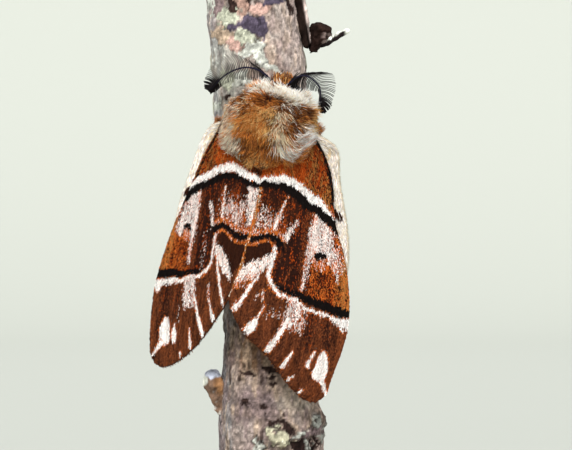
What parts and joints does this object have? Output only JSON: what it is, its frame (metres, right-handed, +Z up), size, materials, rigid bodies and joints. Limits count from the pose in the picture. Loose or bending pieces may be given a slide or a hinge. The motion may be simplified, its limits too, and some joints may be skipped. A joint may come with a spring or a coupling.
{
  "type": "kentish glory moth on a stem",
  "caption": "Male kentish glory moth at rest with roofed wings and feathered antennae, on a cut stem over a plain stand.",
  "frame": {"origin": "middle of the stand's underside", "axes": "+Z up the stem towards the moth's head, -Y out of the moth's back towards the viewer, +X to the viewer's right"},
  "size_m": [0.048, 0.048, 0.0686],
  "materials": {
    "wing_scales": "dark brown, rust and white scales",
    "hindwing_scales": "cream and ochre scales",
    "coat_ochre": "long soft ochre hair with pale stripes",
    "coat_brown": "soft brown hair",
    "coat_grey": "soft grey brown hair",
    "antenna": "near black, feathery",
    "eye": "glossy black, faceted",
    "leg": "scaly brown",
    "bark": "grey pink bark with lichen",
    "stand_wood": "satin varnish",
    "stand_steel": "satin"
  },
  "bodies": {
    "root": {"head": "coat_brown", "eye_left": "eye", "eye_right": "eye", "antenna_left": "antenna", "antenna_right": "antenna", "thorax": "coat_ochre", "abdomen": "coat_grey", "forewing_left": "wing_scales", "forewing_right": "wing_scales", "hindwing_left": "hindwing_scales", "hindwing_right": "hindwing_scales", "leg_fore_left": "leg", "leg_fore_right": "leg", "leg_mid_left": "leg", "leg_mid_right": "leg", "leg_hind_left": "leg", "leg_hind_right": "leg", "perch": "bark", "stand_base": "stand_wood", "stand_rod": "stand_steel"}
  },
  "joints": []
}
